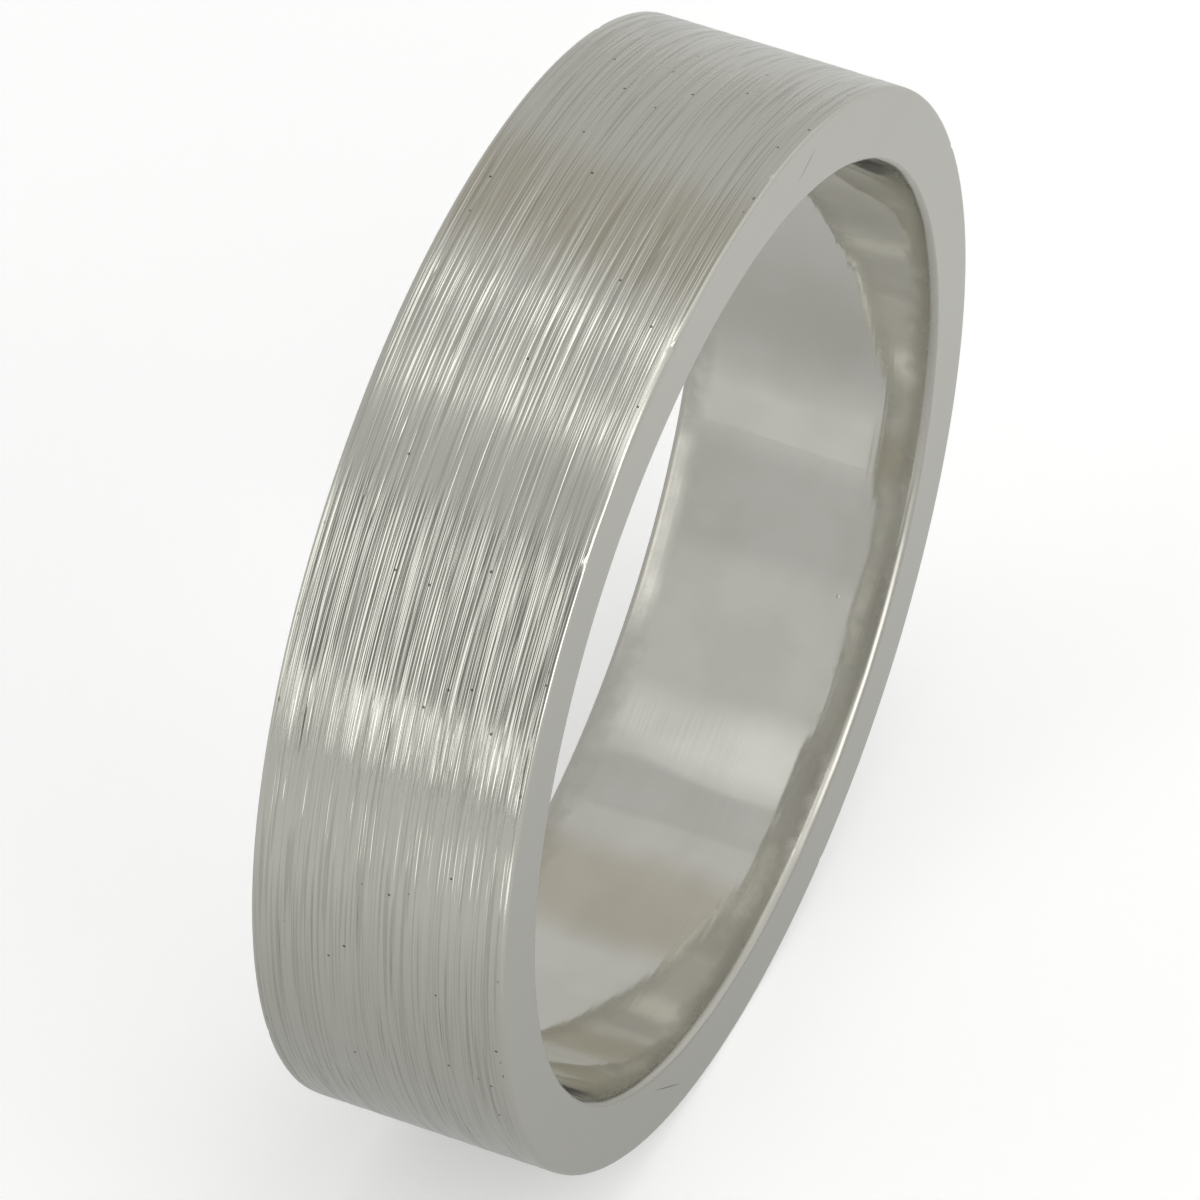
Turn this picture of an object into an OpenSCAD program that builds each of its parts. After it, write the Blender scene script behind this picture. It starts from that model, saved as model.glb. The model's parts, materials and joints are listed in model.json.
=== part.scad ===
// Plain wedding band: a flat-faced ring with square shoulders and a smooth finger bore.
// It stands on its edge like a wheel. The bore's axis is Y, Z is up, and the origin is
// the centre of the bore, halfway across the width.

/* [Ring size] */
// Diameter of the finger bore: 18 mm is close to US size 7 3/4, or EU size 56 1/2
bore_d = 18; // [14:0.1:23]
// Width of the band along the finger
band_w = 5; // [2:0.1:10]
// Thickness of the wall, from the bore to the outer face
wall_t = 1.5; // [1:0.05:2.4]

/* [Edges] */
// Radius of the soft round at each mouth of the bore, where the ring slides over a knuckle
inner_edge_r = 0.15; // [0.05:0.05:0.45]
// Radius of the crisp broken edge between the outer face and each side face
outer_edge_r = 0.08; // [0.02:0.01:0.3]

/* [Hidden] */

bore_r = bore_d / 2;
outer_r = bore_r + wall_t;
half_w = band_w / 2;
// How far a cutting shape runs past the surface that it cuts
overrun = 0.5;
// Steps in a full turn of the ring, and in a full turn of one of its small edge rounds
turn_steps = 240;
edge_steps = 48;

// The waste outside a round of radius r, on a square corner at the origin whose metal
// lies towards +X and +Y
module corner_waste(r) {
    difference() {
        translate([-overrun, -overrun]) square(r + overrun);
        translate([r, r]) circle(r, $fn = edge_steps);
    }
}

// Section through the wall, with X as the distance from the ring's axis and Y along it
module wall_section() {
    difference() {
        translate([bore_r, -half_w]) square([wall_t, band_w]);
        for (far_side = [0, 1]) {
            mirror([0, far_side]) translate([0, -half_w]) {
                translate([bore_r, 0]) corner_waste(inner_edge_r);
                translate([outer_r, 0]) mirror([1, 0]) corner_waste(outer_edge_r);
            }
        }
    }
}

// The whole ring: one seamless turn of the wall section about the finger's axis
module band() {
    color("silver")
        rotate([90, 0, 0])
            rotate_extrude($fn = turn_steps) wall_section();
}

band();
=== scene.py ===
"""A plain wedding band with a finely brushed outer face, standing on its edge."""
import json
import math

import bpy
import numpy as np
from mathutils import Matrix, Vector


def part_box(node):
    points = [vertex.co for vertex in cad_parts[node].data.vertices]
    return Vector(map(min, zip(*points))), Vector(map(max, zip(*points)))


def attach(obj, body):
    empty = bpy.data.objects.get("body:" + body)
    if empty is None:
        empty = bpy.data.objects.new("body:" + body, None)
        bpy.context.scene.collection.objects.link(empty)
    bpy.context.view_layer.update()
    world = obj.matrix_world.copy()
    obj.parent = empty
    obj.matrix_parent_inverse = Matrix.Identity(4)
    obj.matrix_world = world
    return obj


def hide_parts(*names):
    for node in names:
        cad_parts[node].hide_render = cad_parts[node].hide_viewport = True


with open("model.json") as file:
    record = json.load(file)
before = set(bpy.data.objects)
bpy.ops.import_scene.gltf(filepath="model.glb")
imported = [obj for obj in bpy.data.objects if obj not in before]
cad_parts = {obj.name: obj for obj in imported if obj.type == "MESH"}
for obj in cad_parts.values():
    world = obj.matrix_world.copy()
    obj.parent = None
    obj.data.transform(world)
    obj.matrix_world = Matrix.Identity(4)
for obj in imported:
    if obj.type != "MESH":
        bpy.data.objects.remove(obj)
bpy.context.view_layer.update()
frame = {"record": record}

MM = 0.001

# ---------------------------------------------------------------- sizes of the ring
finger_bore = next(m for m in frame["record"]["mounts"] if m["name"] == "finger_bore")
band_low, band_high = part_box("band")
OUTER_R = (band_high.x - band_low.x) / 2
HALF_W = (band_high.y - band_low.y) / 2
BORE_R = finger_bore["dims"]["r_mm"] * MM
MOUTH_R = HALF_W - finger_bore["dims"]["length_mm"] * MM / 2
FLOOR_Z = band_low.z
# Radius of the broken outer edges, as in part.scad. The frame doesn't give it.
CORNER_R = 0.08 * MM

# ---------------------------------------------------------------- finish of the surfaces
# Polishing opens the bore a little towards its mouths, and rolls it off beside each one
BORE_FLARE = 0.030 * MM
ROLL_START = 1.85 * MM
ROLL_DEPTH = 0.020 * MM
# How far the start of that roll wanders along the bore, and the shortest length of a wander
ROLL_WANDER = (0.07 * MM, 0.9 * MM)
# Brushing rolls the outer face off a little towards each edge
FACE_ROLL = 0.2 * MM
FACE_ROLL_SLOPE = 0.16
# Brush strokes that are cut as real grooves; finer ones are in the material. A stroke has the
# greatest half length and depth, times the square of a share drawn between the least one and 1.
STROKES = 7000
STROKE_WIDTHS = (0.026 * MM, 0.05 * MM)
STROKE_HALF_LENGTH = 2.6 * MM
STROKE_DEPTH = 0.005 * MM
LEAST_LENGTH_SHARE = 0.2
LEAST_DEPTH_SHARE = 0.05
# How far from its middle a stroke still cuts, in stroke widths
STROKE_REACH = 2.5
# Unevenness that hand finishing leaves: height, and shortest length of a wave
FACE_WAVES = (0.003 * MM, 4 * MM)
BORE_WAVES = (0.004 * MM, 3 * MM)
SIDE_WAVES = (0.0008 * MM, 4 * MM)
# How many waves are added up on each surface, and the fewest crests that one has round the ring
WAVE_COUNT = 14
FEWEST_CRESTS = 3
# Small dents in the outer edges: degrees round the ring, which edge along Y, size and depth
NICKS = (
    (130.4, -1, 0.07 * MM, 0.045 * MM),
    (107.4, -1, 0.10 * MM, 0.035 * MM),
    (83.2, -1, 0.06 * MM, 0.040 * MM),
    (23.2, -1, 0.08 * MM, 0.045 * MM),
    (-68, -1, 0.07 * MM, 0.035 * MM),
    (64, 1, 0.08 * MM, 0.040 * MM),
    (198, 1, 0.07 * MM, 0.035 * MM),
)
# Stretches where wear has flattened an outer edge: degrees round the ring, which edge along Y,
# half its length, width and depth
WORN_EDGES = (
    (114.5, -1, 1.5 * MM, 0.13 * MM, 0.045 * MM),
    (128.5, -1, 0.5 * MM, 0.09 * MM, 0.020 * MM),
    (-35, 1, 1.3 * MM, 0.12 * MM, 0.040 * MM),
)
# Hairline scratches on the side faces: which face along Y, degrees round the ring, distance
# from the axis, heading in degrees from +X towards +Z, and length
SCRATCHES = (
    (-1, -109.7, 9.64 * MM, -39, 1.9 * MM),
    (-1, 74.0, 9.85 * MM, 12, 0.9 * MM),
    (1, 35.0, 9.70 * MM, 80, 0.7 * MM),
    (1, -150.0, 9.90 * MM, 20, 0.5 * MM),
)
SCRATCH_W = 0.03 * MM
# Share of a scratch's size, and of a pit's, inside which it is at its strongest
SCRATCH_CORE = 0.4
SPECK_CORE = 0.7

# ---------------------------------------------------------------- mesh density
TURN_STEPS = 270
# Extra cross-sections at a nick, and how far from its middle they reach, in nick sizes
NICK_STEPS = 7
NICK_SPAN = 1.7
# Steps along each span of a cross-section
FACE_STEPS = 236
SIDE_STEPS = 8
BORE_STEPS = 28
MOUTH_STEPS = 6
CORNER_STEPS = 4


def new_material(name):
    """A new material, its node tree and the one shader that it has."""
    material = bpy.data.materials.new(name)
    material.use_nodes = True
    tree = material.node_tree
    tree.nodes.clear()
    shader = tree.nodes.new("ShaderNodeBsdfPrincipled")
    output = tree.nodes.new("ShaderNodeOutputMaterial")
    tree.links.new(shader.outputs["BSDF"], output.inputs["Surface"])
    return material, tree, shader


def arc(centre, radius, start, end, steps):
    """Points round an arc in the section plane, its first one left out."""
    angles = np.radians(np.linspace(start, end, steps + 1)[1:])
    return [(centre[0] + radius * math.cos(a), centre[1] + radius * math.sin(a)) for a in angles]


def along_line(start, end, parts):
    """Points at the given parts of the way along a line in the section plane."""
    step = (end[0] - start[0], end[1] - start[1])
    return [(start[0] + step[0] * part, start[1] + step[1] * part) for part in parts]


def line(start, end, steps):
    """Evenly spaced points along a line in the section plane, its first one left out."""
    return along_line(start, end, np.linspace(0, 1, steps + 1)[1:])


def eased_line(start, end, steps):
    """As line, with the points closer together towards both ends."""
    turns = np.linspace(0, math.pi, steps + 1)[1:]
    return along_line(start, end, (1 - np.cos(turns)) / 2)


def section():
    """The wall's outline as (radius, y) points, and the finish that each span to the next has."""
    face_y = HALF_W - CORNER_R
    side_out = OUTER_R - CORNER_R
    side_in = BORE_R + MOUTH_R
    bore_y = HALF_W - MOUTH_R
    spans = [
        ("brushed", line((OUTER_R, -face_y), (OUTER_R, face_y), FACE_STEPS)),
        ("corner", arc((side_out, face_y), CORNER_R, 0, 90, CORNER_STEPS)),
        ("side", eased_line((side_out, HALF_W), (side_in, HALF_W), SIDE_STEPS)),
        ("mouth", arc((side_in, bore_y), MOUTH_R, 90, 180, MOUTH_STEPS)),
        ("bore", eased_line((BORE_R, bore_y), (BORE_R, -bore_y), BORE_STEPS)),
        ("mouth", arc((side_in, -bore_y), MOUTH_R, 180, 270, MOUTH_STEPS)),
        ("side", eased_line((side_in, -HALF_W), (side_out, -HALF_W), SIDE_STEPS)),
        ("corner", arc((side_out, -face_y), CORNER_R, 270, 360, CORNER_STEPS)),
    ]
    points = [p for _, span in spans for p in span]
    finishes = [name for name, span in spans for _ in span]
    return np.array(points), finishes


def turn_angles():
    """Angles of the mesh's cross-sections: evenly spaced, with a few more at each nick."""
    angles = [np.arange(TURN_STEPS) * 2 * math.pi / TURN_STEPS]
    for degrees, _, size, _ in NICKS:
        nearby = np.linspace(-NICK_SPAN, NICK_SPAN, NICK_STEPS) * size / OUTER_R
        angles.append(math.radians(degrees) + nearby)
    return np.unique(np.concatenate(angles) % (2 * math.pi))


def turn_away(angles, centre):
    """How far round the ring angles are from a centre angle, from -pi to pi."""
    return (angles - centre + math.pi) % (2 * math.pi) - math.pi


def waves(turn, across, height, length, seed):
    """Smooth unevenness that closes on itself round the ring, for grids of angle and place."""
    random = np.random.default_rng(seed)
    most_crests = int(2 * math.pi * OUTER_R / length)
    total = np.zeros_like(turn)
    for _ in range(WAVE_COUNT):
        crests = random.integers(FEWEST_CRESTS, most_crests)
        slant = random.uniform(-1, 1) * 2 * math.pi / length
        start = random.uniform(0, 2 * math.pi)
        total += np.sin(crests * turn + slant * across + start)
    return total * height / math.sqrt(WAVE_COUNT)


def brushed_height(turn, y):
    """Height of the outer face above its plain cylinder, in metres, for grids of angle and y."""
    random = np.random.default_rng(7)
    height = waves(turn, y, *FACE_WAVES, seed=3)
    columns = y[0]
    angles = turn[:, 0]
    for _ in range(STROKES):
        centre_y = random.uniform(-HALF_W, HALF_W)
        centre_turn = random.uniform(0, 2 * math.pi)
        width = random.uniform(*STROKE_WIDTHS)
        half_turn = random.uniform(LEAST_LENGTH_SHARE, 1) ** 2 * STROKE_HALF_LENGTH / OUTER_R
        depth = random.uniform(LEAST_DEPTH_SHARE, 1) ** 2 * STROKE_DEPTH
        away = turn_away(angles, centre_turn)
        rows = np.nonzero(np.abs(away) < half_turn)[0]
        near = np.nonzero(np.abs(columns - centre_y) < STROKE_REACH * width)[0]
        along = np.sqrt(1 - (away[rows] / half_turn) ** 2)
        across = np.exp(-(((columns[near] - centre_y) / width) ** 2))
        height[np.ix_(rows, near)] -= depth * along[:, None] * across[None, :]
    past = np.clip((np.abs(y) - (HALF_W - FACE_ROLL)) / FACE_ROLL, 0, 1)
    return height - FACE_ROLL_SLOPE * FACE_ROLL * past**2 / 2


def dent(places, degrees, edge, size, depth):
    """Push the points round one nick in an outer edge towards the middle of the wall."""
    angle = math.radians(degrees)
    outward = np.array([math.cos(angle), 0, math.sin(angle)])
    along = np.array([0, edge, 0])
    nick = outward * OUTER_R + along * HALF_W
    inward = -(outward + along) / math.sqrt(2)
    nearness = np.exp(-(np.linalg.norm(places - nick, axis=-1) / size) ** 2)
    return places + inward * depth * nearness[..., None]


def wear(places, degrees, edge, half_length, width, depth):
    """Flatten a stretch of an outer edge, most at its middle and not at all past its ends."""
    x, z = places[..., 0], places[..., 2]
    radius = np.hypot(x, z)
    reach = OUTER_R * turn_away(np.arctan2(z, x), math.radians(degrees))
    off_edge = np.hypot(OUTER_R - radius, HALF_W - edge * places[..., 1])
    amount = depth * np.exp(-((reach / half_length) ** 4) - (off_edge / width) ** 2)
    shrink = 1 - amount / math.sqrt(2) / radius
    worn = places.copy()
    worn[..., 0] *= shrink
    worn[..., 2] *= shrink
    worn[..., 1] -= edge * amount / math.sqrt(2)
    return worn


def ring_places(points, angles):
    """Every point of the finished ring, as a grid of cross-section by place round the section."""
    turn, radius = np.meshgrid(angles, points[:, 0], indexing="ij")
    y = np.broadcast_to(points[:, 1], turn.shape)
    side_out = OUTER_R - CORNER_R
    side_in = BORE_R + MOUTH_R
    outer_part = np.clip((radius - side_out) / CORNER_R, 0, 1)
    bore_part = np.clip((side_in - radius) / MOUTH_R, 0, 1)
    side_part = np.clip((np.abs(y) - (HALF_W - CORNER_R)) / CORNER_R, 0, 1) * np.sign(y)
    roll_start = ROLL_START + waves(turn, np.sign(y) * HALF_W, *ROLL_WANDER, seed=17)
    past = np.clip((np.abs(y) - roll_start) / (HALF_W - MOUTH_R - ROLL_START), 0, None)
    rise = outer_part * brushed_height(turn, np.clip(y, CORNER_R - HALF_W, HALF_W - CORNER_R))
    opening = BORE_FLARE * (y / HALF_W) ** 2 + ROLL_DEPTH * past**2
    rise += bore_part * (waves(turn, y, *BORE_WAVES, seed=5) + opening)
    shift = side_part * waves(turn, radius, *SIDE_WAVES, seed=11)
    radius = radius + rise
    places = np.stack([radius * np.cos(turn), y + shift, radius * np.sin(turn)], axis=-1)
    for stretch in WORN_EDGES:
        places = wear(places, *stretch)
    for nick in NICKS:
        places = dent(places, *nick)
    return places


def ring_mesh():
    """The whole band as one closed mesh, with a material slot for each finish."""
    points, finishes = section()
    angles = turn_angles()
    places = ring_places(points, angles)
    turns, count = len(angles), len(points)
    # Slots in the order in which the band gets its materials: outer face, side faces, bore
    slot_of = {"brushed": 0, "corner": 1, "side": 1, "mouth": 2, "bore": 2}
    faces = []
    slots = []
    for i in range(turns):
        here, beyond = i * count, (i + 1) % turns * count
        for j in range(count):
            k = (j + 1) % count
            faces.append((here + j, here + k, beyond + k, beyond + j))
            slots.append(slot_of[finishes[k]])
    mesh = bpy.data.meshes.new("wedding_band")
    mesh.from_pydata(places.reshape(-1, 3).tolist(), [], faces)
    mesh.polygons.foreach_set("material_index", slots)
    mesh.polygons.foreach_set("use_smooth", [True] * len(faces))
    mesh.update()
    return mesh


# ---------------------------------------------------------------- material patterns
# The part of the range from 0 to 1 that nearly all of a noise pattern's values are in
NOISE_RANGE = (0.3, 0.7)
# Size of the unevenness along a ragged rim
RAGGED_GRAIN = 0.3 * MM
# A Mix node has several sockets of each name, so its colour sockets go by number
MIX_FACTOR = 0
MIX_FIRST = 6
MIX_SECOND = 7
MIX_RESULT = 2


def pattern(tree, node_type, size, shift=0.0):
    """A pattern node on object coordinates, with cells of size (x, y, z) metres.

    Patterns with different shifts don't line up with each other.
    """
    coordinates = tree.nodes.new("ShaderNodeTexCoord")
    scaled = tree.nodes.new("ShaderNodeMapping")
    scaled.inputs["Location"].default_value = (shift, shift, shift)
    scaled.inputs["Scale"].default_value = tuple(1 / s for s in size)
    node = tree.nodes.new(node_type)
    node.inputs["Scale"].default_value = 1
    tree.links.new(coordinates.outputs["Object"], scaled.inputs["Vector"])
    tree.links.new(scaled.outputs["Vector"], node.inputs["Vector"])
    return node


def streaks(tree, length, width, shift=0.0):
    """Smooth noise drawn out round the ring, length round the turn and width across it."""
    node = pattern(tree, "ShaderNodeTexNoise", (length, width, length), shift)
    node.inputs["Detail"].default_value = 0
    return node.outputs["Fac"]


def grain(tree, size, shift=0.0):
    """Noise whose grain is the same size in every direction."""
    return pattern(tree, "ShaderNodeTexNoise", (size, size, size), shift).outputs["Fac"]


def specks(tree, spacing, size, shift=0.0):
    """Small round marks, 1 inside a mark and 0 between them, about spacing apart."""
    node = pattern(tree, "ShaderNodeTexVoronoi", (spacing, spacing, spacing), shift)
    edge = size / spacing
    return spread(tree, node.outputs["Distance"], SPECK_CORE * edge, edge, 1, 0)


def rim(tree, start, end, ragged=0.0):
    """A value that goes from 0 to 1 as the distance from the mid plane goes from start to end.

    The line that it follows wanders by up to ragged metres.
    """
    coordinates = tree.nodes.new("ShaderNodeTexCoord")
    axes = tree.nodes.new("ShaderNodeSeparateXYZ")
    distance = tree.nodes.new("ShaderNodeMath")
    distance.operation = "ABSOLUTE"
    tree.links.new(coordinates.outputs["Object"], axes.inputs["Vector"])
    tree.links.new(axes.outputs["Y"], distance.inputs[0])
    wander = spread(tree, grain(tree, RAGGED_GRAIN), *NOISE_RANGE, -ragged, ragged)
    wandering = combine(tree, "ADD", distance.outputs["Value"], wander)
    return spread(tree, wandering, start, end, 0, 1)


def scratch(tree, side, degrees, distance, heading, length):
    """One tapered hairline on a side face, 1 along its middle and 0 off it."""
    angle = math.radians(degrees)
    middle = (distance * math.cos(angle), side * HALF_W, distance * math.sin(angle))
    coordinates = tree.nodes.new("ShaderNodeTexCoord")
    placed = tree.nodes.new("ShaderNodeMapping")
    placed.vector_type = "TEXTURE"
    placed.inputs["Location"].default_value = middle
    placed.inputs["Rotation"].default_value = (0, -math.radians(heading), 0)
    placed.inputs["Scale"].default_value = (length / 2, HALF_W, SCRATCH_W / 2)
    off = tree.nodes.new("ShaderNodeVectorMath")
    off.operation = "LENGTH"
    tree.links.new(coordinates.outputs["Object"], placed.inputs["Vector"])
    tree.links.new(placed.outputs["Vector"], off.inputs[0])
    return spread(tree, off.outputs["Value"], SCRATCH_CORE, 1, 1, 0)


def spread(tree, value, low_in, high_in, low_out, high_out):
    """A value moved from one range to another, and held at the new range's ends."""
    node = tree.nodes.new("ShaderNodeMapRange")
    node.inputs["From Min"].default_value = low_in
    node.inputs["From Max"].default_value = high_in
    node.inputs["To Min"].default_value = low_out
    node.inputs["To Max"].default_value = high_out
    tree.links.new(value, node.inputs["Value"])
    return node.outputs["Result"]


def combine(tree, operation, first, second):
    """Two values put together by a math operation."""
    node = tree.nodes.new("ShaderNodeMath")
    node.operation = operation
    tree.links.new(first, node.inputs[0])
    tree.links.new(second, node.inputs[1])
    return node.outputs["Value"]


def mix_colours(tree, factor, first, second):
    """A colour that goes from first to second as factor goes from 0 to 1."""
    node = tree.nodes.new("ShaderNodeMix")
    node.data_type = "RGBA"
    for number, colour in ((MIX_FIRST, first), (MIX_SECOND, second)):
        if isinstance(colour, tuple):
            node.inputs[number].default_value = (*colour, 1)
        else:
            tree.links.new(colour, node.inputs[number])
    tree.links.new(factor, node.inputs[MIX_FACTOR])
    return node.outputs[MIX_RESULT]


def bump(tree, height, distance, onto=None):
    """Normals of a height pattern that is distance deep, laid over the normals of another one."""
    node = tree.nodes.new("ShaderNodeBump")
    node.inputs["Strength"].default_value = 1
    node.inputs["Distance"].default_value = distance
    tree.links.new(height, node.inputs["Height"])
    if onto is not None:
        tree.links.new(onto, node.inputs["Normal"])
    return node.outputs["Normal"]


# ---------------------------------------------------------------- materials
METAL = (0.62, 0.614, 0.553)
METAL_DULL = (0.51, 0.503, 0.447)
BORE_METAL = (0.705, 0.697, 0.64)
BORE_DULL = (0.665, 0.656, 0.597)
MOUTH_DULL = (0.53, 0.52, 0.465)
GRIME = (0.16, 0.155, 0.135)
BRUSHED_ROUGHNESS = (0.07, 0.20)
SIDE_ROUGHNESS = (0.14, 0.24)
BORE_ROUGHNESS = (0.03, 0.08)
# The satin mouths of the bore: extra roughness, and how far the start of it wanders
MOUTH_ROUGHNESS = 0.22
MOUTH_RAGGED = 0.12 * MM
# Below 1, because the bore's polish has a light haze that scatters some of the light
BORE_METALLIC = 0.94
# Strokes in the materials: length round the turn, and width across it
GLOSS_STROKE = (5 * MM, 0.04 * MM)
GRIME_STROKE = (4 * MM, 0.03 * MM)
CUT_STROKE = (3.5 * MM, 0.06 * MM)
LONG_STROKE = (7 * MM, 0.044 * MM)
FINE_STROKE = (4 * MM, 0.027 * MM)
BORE_STROKE = (6 * MM, 0.09 * MM)
# Ranges of noise over which the outer face goes from bright to dull, from clean to grimy and
# from smooth to cut, and the bore from its brighter metal to its duller one
GLOSS_RANGE = (0.35, 0.65)
GRIME_RANGE = (0.55, 0.75)
CUT_RANGE = (0.58, 0.68)
BORE_RANGE = (0.4, 0.6)
# Small round marks: how far apart they are, and their size
PITS = (0.5 * MM, 0.034 * MM)
EDGE_PITS = (0.35 * MM, 0.06 * MM)
BORE_MARKS = (1.7 * MM, 0.04 * MM)
# Size of the cloudy patches in the polish of the sides and bore, and of the grain of the lap
SIDE_CLOUD = 2.2 * MM
BORE_CLOUD = 1.6 * MM
LAPPED_GRAIN = 0.05 * MM
# Heights of bumps: negative ones go into the metal where the pattern is high
LONG_BUMP = 0.0125 * MM
FINE_BUMP = 0.0085 * MM
CUT_BUMP = -0.004 * MM
LAPPED_BUMP = 0.0012 * MM
SCRATCH_BUMP = 0.004 * MM
BORE_LINE_BUMP = 0.0006 * MM
BORE_MARK_BUMP = 0.006 * MM
# How far from the mid plane the chips beside the outer edges start to show, and all show
CHIP_ZONE = (HALF_W - 0.14 * MM, HALF_W - 0.08 * MM)


def brushed_metal():
    """The outer face: fine strokes round the ring, some duller than others, and a few dark pits."""
    material, tree, shader = new_material("brushed_face")
    shader.inputs["Metallic"].default_value = 1
    shader.inputs["Anisotropic"].default_value = 0.7
    # A quarter of a turn, so that reflections are blurred across the strokes
    shader.inputs["Anisotropic Rotation"].default_value = 0.25
    tangent = tree.nodes.new("ShaderNodeTangent")
    tangent.direction_type = "RADIAL"
    tangent.axis = "Y"
    tree.links.new(tangent.outputs["Tangent"], shader.inputs["Tangent"])
    gloss = streaks(tree, *GLOSS_STROKE, shift=31)
    roughness = spread(tree, gloss, *GLOSS_RANGE, *BRUSHED_ROUGHNESS)
    tree.links.new(roughness, shader.inputs["Roughness"])
    grime = spread(tree, streaks(tree, *GRIME_STROKE, shift=57), *GRIME_RANGE, 0, 1)
    cuts = spread(tree, streaks(tree, *CUT_STROKE, shift=113), *CUT_RANGE, 0, 1)
    pits = specks(tree, *PITS)
    edge_pits = specks(tree, *EDGE_PITS, shift=71)
    chips = combine(tree, "MULTIPLY", edge_pits, rim(tree, *CHIP_ZONE))
    dulled = combine(tree, "MAXIMUM", grime, cuts)
    marks = combine(tree, "MAXIMUM", pits, chips)
    colour = mix_colours(tree, dulled, METAL, METAL_DULL)
    tree.links.new(mix_colours(tree, marks, colour, GRIME), shader.inputs["Base Color"])
    normal = bump(tree, streaks(tree, *LONG_STROKE), LONG_BUMP)
    normal = bump(tree, streaks(tree, *FINE_STROKE, shift=83), FINE_BUMP, normal)
    normal = bump(tree, cuts, CUT_BUMP, normal)
    tree.links.new(normal, shader.inputs["Normal"])
    return material


def side_metal():
    """The side faces: a satin polish with the faint grain of a lap and a few hairline scratches."""
    material, tree, shader = new_material("polished_side")
    shader.inputs["Metallic"].default_value = 1
    cloud = grain(tree, SIDE_CLOUD)
    roughness = spread(tree, cloud, *NOISE_RANGE, *SIDE_ROUGHNESS)
    tree.links.new(roughness, shader.inputs["Roughness"])
    marks = [scratch(tree, *place) for place in SCRATCHES]
    scratches = marks[0]
    for mark in marks[1:]:
        scratches = combine(tree, "MAXIMUM", scratches, mark)
    tree.links.new(mix_colours(tree, scratches, METAL, GRIME), shader.inputs["Base Color"])
    normal = bump(tree, grain(tree, LAPPED_GRAIN), LAPPED_BUMP)
    tree.links.new(bump(tree, scratches, SCRATCH_BUMP, normal), shader.inputs["Normal"])
    return material


def bore_metal():
    """The bore: a bright polish with faint lines round it, a few small marks and satin mouths."""
    material, tree, shader = new_material("polished_bore")
    shader.inputs["Metallic"].default_value = BORE_METALLIC
    cloud = grain(tree, BORE_CLOUD)
    satin = rim(tree, ROLL_START, HALF_W - MOUTH_R, ragged=MOUTH_RAGGED)
    polish = spread(tree, cloud, *NOISE_RANGE, *BORE_ROUGHNESS)
    dulling = spread(tree, satin, 0, 1, 0, MOUTH_ROUGHNESS)
    tree.links.new(combine(tree, "ADD", polish, dulling), shader.inputs["Roughness"])
    duller = spread(tree, cloud, *BORE_RANGE, 0, 1)
    colour = mix_colours(tree, duller, BORE_METAL, BORE_DULL)
    colour = mix_colours(tree, satin, colour, MOUTH_DULL)
    marks = specks(tree, *BORE_MARKS, shift=23)
    tree.links.new(mix_colours(tree, marks, colour, METAL_DULL), shader.inputs["Base Color"])
    normal = bump(tree, streaks(tree, *BORE_STROKE, shift=41), BORE_LINE_BUMP)
    tree.links.new(bump(tree, marks, BORE_MARK_BUMP, normal), shader.inputs["Normal"])
    return material


band = bpy.data.objects.new("wedding_band", ring_mesh())
bpy.context.scene.collection.objects.link(band)
for metal in (brushed_metal(), side_metal(), bore_metal()):
    band.data.materials.append(metal)
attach(band, "root")
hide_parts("band")

# ---------------------------------------------------------------- camera, fitted to the photo
AZIMUTH = math.radians(-65.57)
ELEVATION = math.radians(44.88)
DISTANCE = 22 * OUTER_R
LENS_MM = 375.1
SENSOR_MM = 36
NEAREST_SEEN = 10 * MM
# How far the middle of the picture is from the middle of the ring, to the right and up
AIM_RIGHT = -0.0317 * OUTER_R
AIM_UP = -0.0103 * OUTER_R


def photo_camera():
    """A camera that sees the ring as the photo does."""
    back = Vector((
        math.sin(AZIMUTH) * math.cos(ELEVATION),
        -math.cos(AZIMUTH) * math.cos(ELEVATION),
        math.sin(ELEVATION),
    ))
    right = Vector((math.cos(AZIMUTH), math.sin(AZIMUTH), 0))
    up = back.cross(right)
    aim = AIM_RIGHT * right + AIM_UP * up
    camera = bpy.data.objects.new("camera", bpy.data.cameras.new("camera"))
    bpy.context.scene.collection.objects.link(camera)
    camera.data.lens = LENS_MM
    camera.data.sensor_width = SENSOR_MM
    camera.data.clip_start = NEAREST_SEEN
    turned = Matrix((right, up, back)).transposed().to_4x4()
    camera.matrix_world = Matrix.Translation(aim + back * DISTANCE) @ turned
    bpy.context.scene.camera = camera


photo_camera()

# ---------------------------------------------------------------- stage
# A dome of soft boxes round the ring, each one a little nearer than the one before it
STAGE_R = 0.4
STAGE_STEP = 0.004
DOME_STEPS = 12
# The white world, the far wall that closes the view, and the floor
WORLD_GLOW = 0.6
BACKDROP_R = 1.15
BACKDROP_GLOW = 0.78
FLOOR_REACH = 1.5
FLOOR_ROUGHNESS = 0.9
# The spot behind the ring's foot that the painted shadow on a floor sheet, its first grey, is
# about, and the distances from it at which the change to the second grey starts and ends
PAINTED_SHADOW_SPOT = (-OUTER_R / 2, HALF_W, FLOOR_Z)
PAINTED_SHADOW_FADE = (OUTER_R / 5, 2.6 * OUTER_R)

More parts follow.
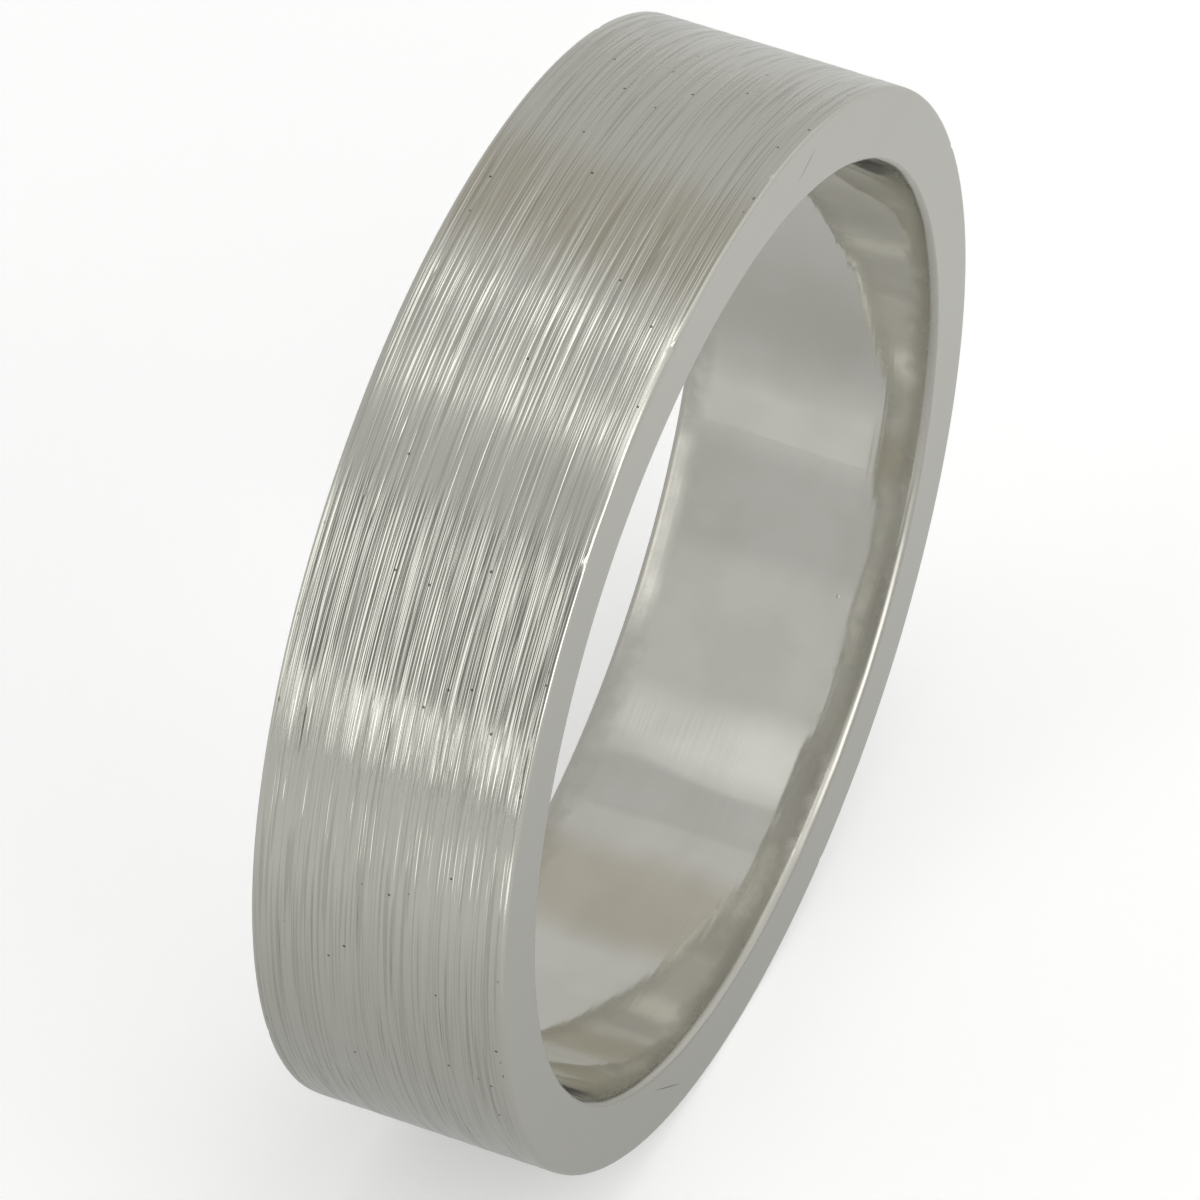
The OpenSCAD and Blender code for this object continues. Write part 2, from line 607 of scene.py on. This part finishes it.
# Name, range of angles from +X towards +Z, range of angles towards +Y, brightness, and the
# share of its two sizes over which it fades out at each edge. A box hides what is behind it,
# so one that is dimmer than the world is a shade.
SOFT_BOXES = (
    ("front_sky", (-6, 186), (-70, -8), 0.80, (0.05, 0.10)),
    ("ceiling", (55, 114), (-36, 12), 0.96, (0.15, 0.20)),
    ("front_key", (82, 176), (-64, -26), 2.40, (0.20, 0.25)),
    ("camera_side", (122, 184), (-25, 10), 0.26, (0.12, 0.10)),
    ("overhead_near", (78, 89), (-16, 9), 1.95, (0.20, 0.15)),
    ("overhead_far", (98, 107), (-16, 9), 1.70, (0.15, 0.15)),
    ("overhead_middle", (87, 100), (-10, 2), 2.00, (0.25, 0.20)),
    ("low_left", (162, 181), (-5, 6), 2.60, (0.30, 0.15)),
    ("bore_cloud", (92, 118), (8, 22), 0.84, (0.40, 0.45)),
    ("bore_shade", (80, 96), (12, 30), 0.52, (0.15, 0.30)),
    ("left_shade", (146, 182), (9, 25), 0.52, (0.25, 0.25)),
    ("back_window", (120, 184), (23, 54), 1.60, (0.25, 0.25)),
)
# As above, with its colour
WARM_BOARD = ("warm_board", (38, 76), (-8, 40), 0.50, (0.30, 0.20), (1, 0.955, 0.87))

# A small glow beside the ring's lower left, nearer than the dome
LOW_GLOW = ("low_glow", (177, 190), (-17, -3), 1.80, (0.30, 0.25))
LOW_GLOW_R = 2.5 * OUTER_R


def dome_patch(name, around, lean, radius):
    """A patch of a dome about the origin, with a UV map that runs from 0 to 1 along both sides."""
    parts = np.linspace(0, 1, DOME_STEPS + 1)
    points = []
    for u in parts:
        for v in parts:
            turn = math.radians(around[0] + (around[1] - around[0]) * u)
            tilt = math.radians(lean[0] + (lean[1] - lean[0]) * v)
            flat = math.cos(tilt)
            points.append((flat * math.cos(turn), math.sin(tilt), flat * math.sin(turn)))
    row = DOME_STEPS + 1
    corners = [(i, j) for i in range(DOME_STEPS) for j in range(DOME_STEPS)]
    corner_starts = [i * row + j for i, j in corners]
    faces = [(first, first + 1, first + row + 1, first + row) for first in corner_starts]
    mesh = bpy.data.meshes.new(name)
    mesh.from_pydata([Vector(p) * radius for p in points], [], faces)
    uv_map = mesh.uv_layers.new(name="patch")
    for loop in mesh.loops:
        i, j = divmod(loop.vertex_index, row)
        uv_map.data[loop.index].uv = (parts[i], parts[j])
    return mesh


def fading_mask(tree, fade):
    """A value that is 1 on a patch and falls to 0 at its edges, over a share fade of each size."""
    coordinates = tree.nodes.new("ShaderNodeTexCoord")
    axes = tree.nodes.new("ShaderNodeSeparateXYZ")
    tree.links.new(coordinates.outputs["UV"], axes.inputs["Vector"])
    masks = []
    for axis, share in zip(("X", "Y"), fade):
        # Distance from the nearer end of the patch: 0 at both ends and a half in the middle
        ramp = tree.nodes.new("ShaderNodeMath")
        ramp.operation = "PINGPONG"
        ramp.inputs[1].default_value = 0.5
        tree.links.new(axes.outputs[axis], ramp.inputs[0])
        mask = spread(tree, ramp.outputs["Value"], 0, share, 0, 1)
        mask.node.interpolation_type = "SMOOTHSTEP"
        masks.append(mask)
    return combine(tree, "MULTIPLY", *masks)


def soft_box(radius, name, around, lean, brightness, fade, colour=(1, 1, 1)):
    """A glowing patch of the dome that shows in the metal, and never straight to the camera."""
    mesh = dome_patch(name, around, lean, radius)
    box = bpy.data.objects.new(name, mesh)
    bpy.context.scene.collection.objects.link(box)
    box.visible_camera = False
    box.visible_shadow = False
    material = bpy.data.materials.new(name)
    material.use_nodes = True
    tree = material.node_tree
    tree.nodes.clear()
    mesh.materials.append(material)
    glow = tree.nodes.new("ShaderNodeEmission")
    glow.inputs["Color"].default_value = (*colour, 1)
    glow.inputs["Strength"].default_value = brightness
    clear = tree.nodes.new("ShaderNodeBsdfTransparent")
    mixed = tree.nodes.new("ShaderNodeMixShader")
    output = tree.nodes.new("ShaderNodeOutputMaterial")
    tree.links.new(fading_mask(tree, fade), mixed.inputs["Fac"])
    tree.links.new(clear.outputs["BSDF"], mixed.inputs[1])
    tree.links.new(glow.outputs["Emission"], mixed.inputs[2])
    tree.links.new(mixed.outputs["Shader"], output.inputs["Surface"])


def floor_sheet(name, near, far, glow):
    """A wide pale sheet with a painted shadow: one grey near the ring that goes to another further
    out.
    """
    corners = [(-1, -1), (1, -1), (1, 1), (-1, 1)]
    places = [(x * FLOOR_REACH, y * FLOOR_REACH, FLOOR_Z) for x, y in corners]
    mesh = bpy.data.meshes.new(name)
    mesh.from_pydata(places, [], [(0, 1, 2, 3)])
    sheet = bpy.data.objects.new(name, mesh)
    bpy.context.scene.collection.objects.link(sheet)
    material, tree, shader = new_material(name)
    # Painted shadow: the first grey about the spot behind the ring's foot, changing to the second
    # further out
    coordinates = tree.nodes.new("ShaderNodeTexCoord")
    distance = tree.nodes.new("ShaderNodeVectorMath")
    distance.operation = "DISTANCE"
    distance.inputs[1].default_value = PAINTED_SHADOW_SPOT
    tree.links.new(coordinates.outputs["Object"], distance.inputs[0])
    out_of_painted_shadow = spread(tree, distance.outputs["Value"], *PAINTED_SHADOW_FADE, 0, 1)
    colour = mix_colours(tree, out_of_painted_shadow, (near,) * 3, (far,) * 3)
    tree.links.new(colour, shader.inputs["Base Color"])
    shader.inputs["Roughness"].default_value = FLOOR_ROUGHNESS
    shader.inputs["Emission Color"].default_value = (1, 1, 1, 1)
    shader.inputs["Emission Strength"].default_value = glow
    mesh.materials.append(material)
    return sheet


def backdrop():
    """A pale wall all round, far off, which only the camera sees."""
    mesh = dome_patch("backdrop", (0, 360), (-90, 90), BACKDROP_R)
    wall = bpy.data.objects.new("backdrop", mesh)
    bpy.context.scene.collection.objects.link(wall)
    material, _, shader = new_material("backdrop")
    shader.inputs["Base Color"].default_value = (0, 0, 0, 1)
    shader.inputs["Specular IOR Level"].default_value = 0
    shader.inputs["Emission Color"].default_value = (1, 1, 1, 1)
    shader.inputs["Emission Strength"].default_value = BACKDROP_GLOW
    mesh.materials.append(material)
    wall.visible_diffuse = False
    wall.visible_glossy = False
    wall.visible_transmission = False
    wall.visible_shadow = False


def studio_world():
    """Even, soft white light from everywhere that the stage leaves open."""
    world = bpy.data.worlds.new("studio")
    world.use_nodes = True
    background = world.node_tree.nodes["Background"]
    background.inputs["Color"].default_value = (1, 1, 1, 1)
    background.inputs["Strength"].default_value = WORLD_GLOW
    bpy.context.scene.world = world


for layer, box in enumerate((*SOFT_BOXES, WARM_BOARD)):
    soft_box(STAGE_R - layer * STAGE_STEP, *box)
soft_box(LOW_GLOW_R, *LOW_GLOW)

# The camera sees a floor that is lit from below, like a light table, with a faint painted shadow
# near the ring.
# The metal reflects a second sheet in the same place, unlit, whose darker painted shadow makes it
# greyer near the ring.
lit_floor = floor_sheet("floor", near=0.88, far=0.90, glow=0.22)
lit_floor.visible_glossy = False
unlit_floor = floor_sheet("floor_in_metal", near=0.60, far=0.88, glow=0)
unlit_floor.visible_camera = False
unlit_floor.visible_diffuse = False
unlit_floor.visible_shadow = False
backdrop()
studio_world()
bpy.context.scene.view_settings.view_transform = "Standard"
